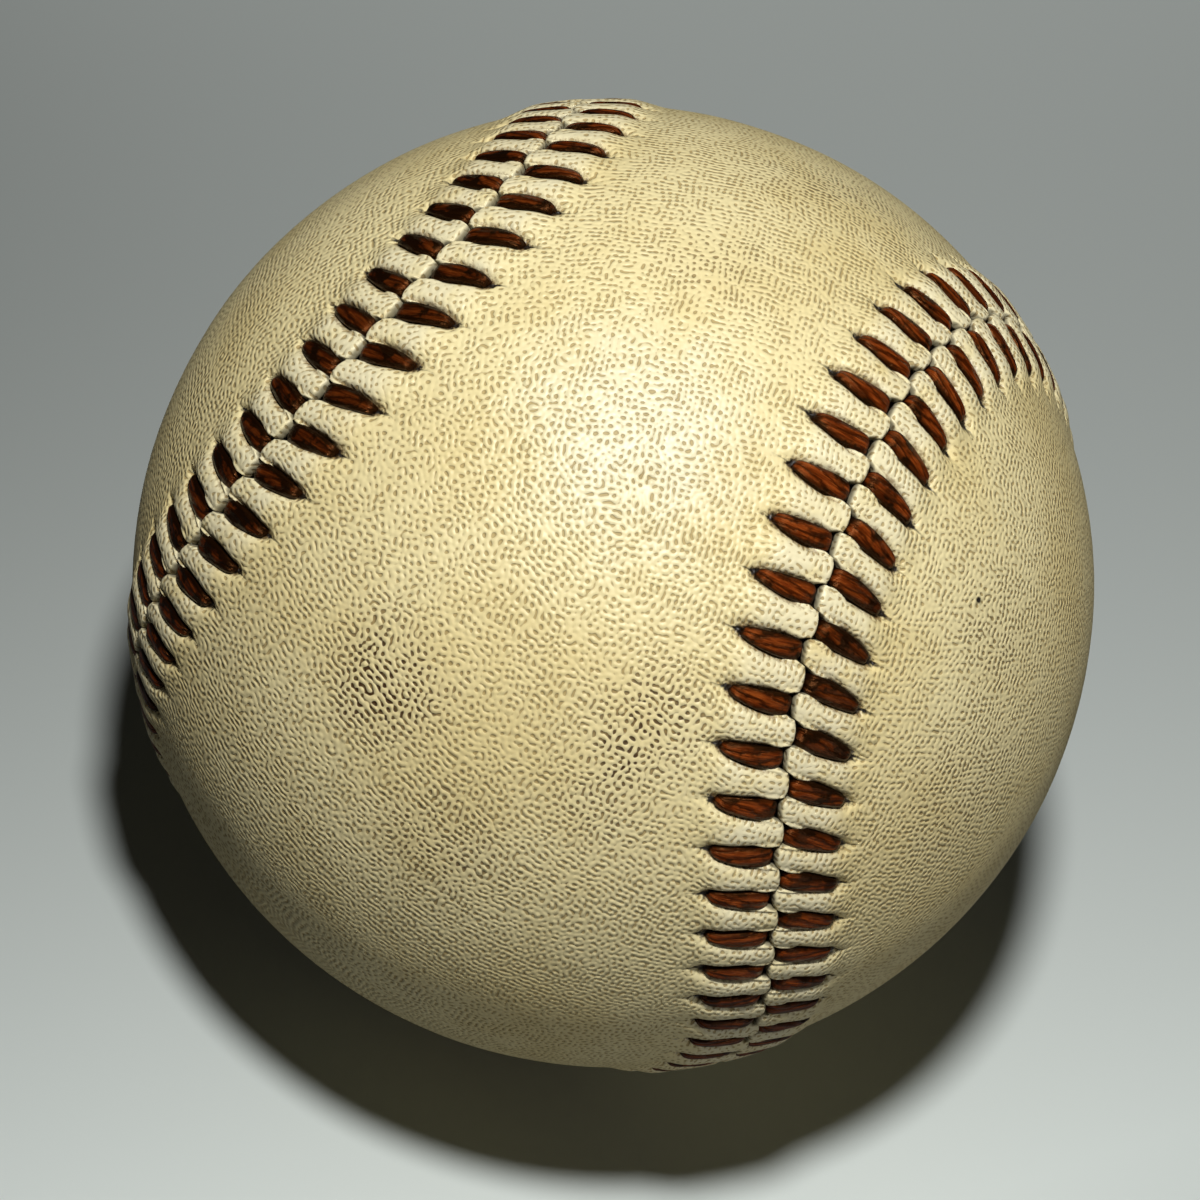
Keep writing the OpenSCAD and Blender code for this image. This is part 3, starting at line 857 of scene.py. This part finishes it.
studio = {
    "floorSize": 3000,
    "floor": (0.93, 1.0, 0.953, 1.0),
    "black": (0.0, 0.0, 0.0, 1.0),
    "floorMiddle": 0.70,  # share of the floor's colour below the ball; over the floor it changes as painted light and shade
    "floorAcross": 0.00148,  # more of it with each millimetre along +X
    "floorAlong": (-0.00555, 0.0000418, 0.0000136),  # and along +Y: slope, bend and twist
    "floorLimits": (0.35, 1.0),
    "floorBounce": 0.14,  # how much of its light the floor gives back to the ball
    "key": {"toward": (-0.2035, -0.25, 0.9465), "distance": 262, "size": 30, "power": 0.59},
    "fill": {"toward": (-0.94, -0.34, -0.012), "distance": 900, "size": 60, "power": 0.20},
    "front": {"toward": (0.35, -0.94, -0.012), "distance": 900, "size": 60, "power": 0.95},
    "world": 0.006,
    "backdrop": 0.42,  # brightness of the world where the camera sees it past the floor
    "worldTint": (1.0, 1.0, 0.98, 1.0),
}


def floorFinish():
    wire, join = finish("paleFloor", {"Specular IOR Level": 0.2, "Roughness": 0.8})
    place = objectMm(wire)
    across, along = place.axis(0), place.axis(1)
    slope, bend, twist = studio["floorAlong"]
    # Painted light and shade: the floor's colour changes with place, darker away from the camera and towards
    # -X, as a lamp's falloff would make it
    share = along * (along * bend + across * twist + slope)
    share = share + across * studio["floorAcross"] + studio["floorMiddle"]
    share = share.maths("MAXIMUM", studio["floorLimits"][0]).maths("MINIMUM", studio["floorLimits"][1])
    bounce = studio["floorBounce"]
    seen = wire.node("LightPath", output="Is Camera Ray") * (1 - bounce) + bounce
    return join(Base_Color=(share * seen).tint(studio["black"], studio["floor"]))


def makeFloor():
    bm = bmesh.new()
    half = studio["floorSize"] / 2 * mm
    bmesh.ops.create_grid(bm, x_segments=1, y_segments=1, size=half,
                          matrix=Matrix.Translation((0, 0, cadBox[0].z)))
    mesh = bpy.data.meshes.new("floor")
    bm.to_mesh(mesh)
    bm.free()
    floor = bpy.data.objects.new("floor", mesh)
    bpy.context.scene.collection.objects.link(floor)
    mesh.materials.append(floorFinish())


def makeLamp(name, lamp):
    data = bpy.data.lights.new(name, "AREA")
    data.shape = "DISK"
    data.size = lamp["size"] * mm
    data.energy = lamp["power"]
    made = bpy.data.objects.new(name, data)
    toward = Vector(lamp["toward"]).normalized()
    made.location = toward * lamp["distance"] * mm
    made.rotation_euler = toward.to_track_quat("Z", "Y").to_euler()
    bpy.context.scene.collection.objects.link(made)


def makeWorld():
    world = bpy.data.worlds.new("studio")
    world.use_nodes = True
    wire = Wire(world.node_tree)
    seen = wire.node("LightPath", output="Is Camera Ray")
    strength = seen * (studio["backdrop"] - studio["world"]) + studio["world"]
    shade = world.node_tree.nodes["Background"]
    shade.inputs["Color"].default_value = studio["worldTint"]
    world.node_tree.links.new(strength.socket, shade.inputs["Strength"])
    bpy.context.scene.world = world


def makeCamera():
    data = bpy.data.cameras.new("camera")
    data.lens = view["lens"]
    data.sensor_width = view["sensor"]
    data.shift_x = (view["frame"] / 2 - view["middle"][0]) / view["frame"]
    data.shift_y = (view["middle"][1] - view["frame"] / 2) / view["frame"]
    camera = bpy.data.objects.new("camera", data)
    right, up, back = (Vector(view[k]) for k in ("right", "up", "back"))
    turn = Matrix((right, up, back)).transposed().to_4x4()
    camera.matrix_world = Matrix.Translation(back * view["distance"] * mm) @ turn
    bpy.context.scene.collection.objects.link(camera)
    bpy.context.scene.camera = camera


makeFloor()
for lamp in ("key", "fill", "front"):
    makeLamp(lamp + "Lamp", studio[lamp])
makeWorld()
makeCamera()
bpy.context.scene.view_settings.view_transform = "Standard"
print("studio set")
